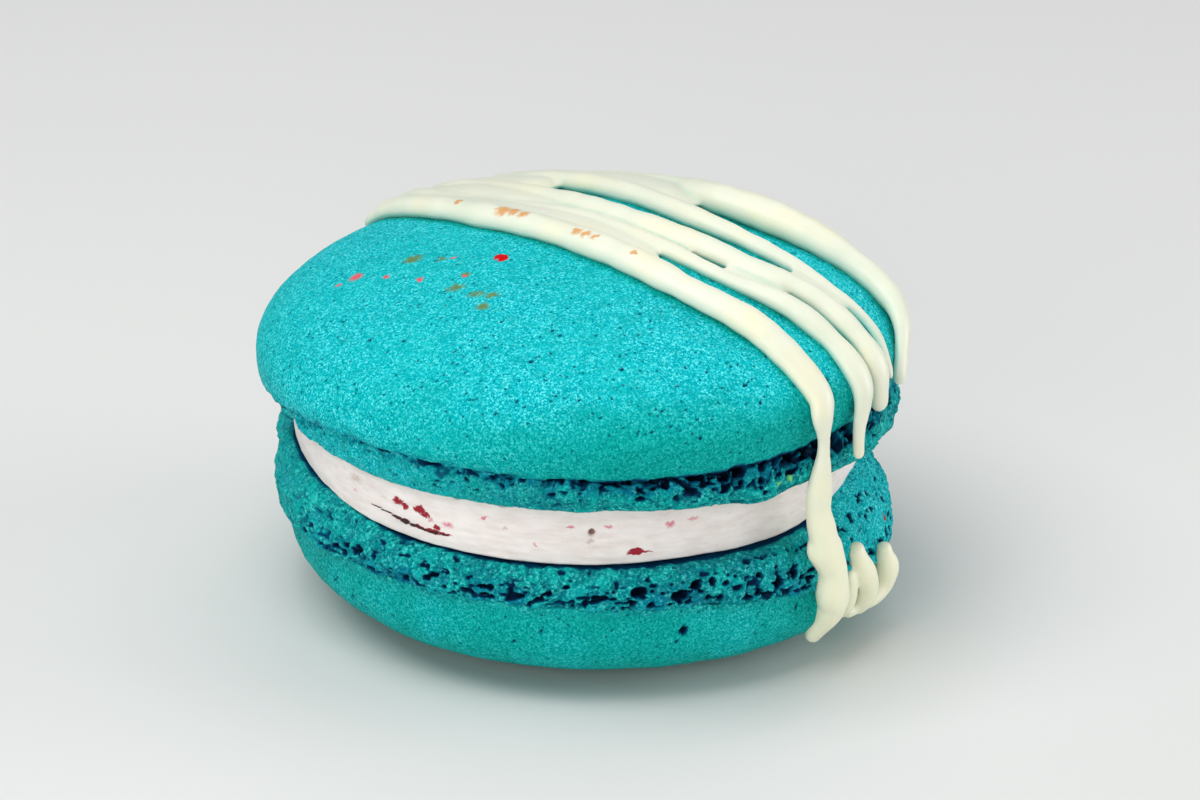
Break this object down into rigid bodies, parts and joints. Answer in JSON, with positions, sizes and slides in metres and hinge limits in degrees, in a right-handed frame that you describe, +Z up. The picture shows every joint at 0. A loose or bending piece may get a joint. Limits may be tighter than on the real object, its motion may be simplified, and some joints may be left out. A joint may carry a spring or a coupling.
{
  "type": "french macaron",
  "caption": "Round sandwich biscuit of domed almond meringue shells with ruffled feet, a soft cream filling between them and thin strings of icing across the top.",
  "frame": {"origin": "middle of the small flat spot under the lower shell, on which it rests", "axes": "+Z up through both shells, -Y the front, where the filling shows most, +X the side that the icing ran down"},
  "size_m": [0.0441, 0.0438, 0.0275],
  "materials": {
    "shell": "baked meringue, turquoise, dull and finely pitted, with pale cream icing on it",
    "filling": "soft cream, pinkish white with a few dark red flecks"
  },
  "bodies": {
    "root": {"bottom_shell": "shell", "filling": "filling", "top_shell": "shell"}
  },
  "joints": []
}
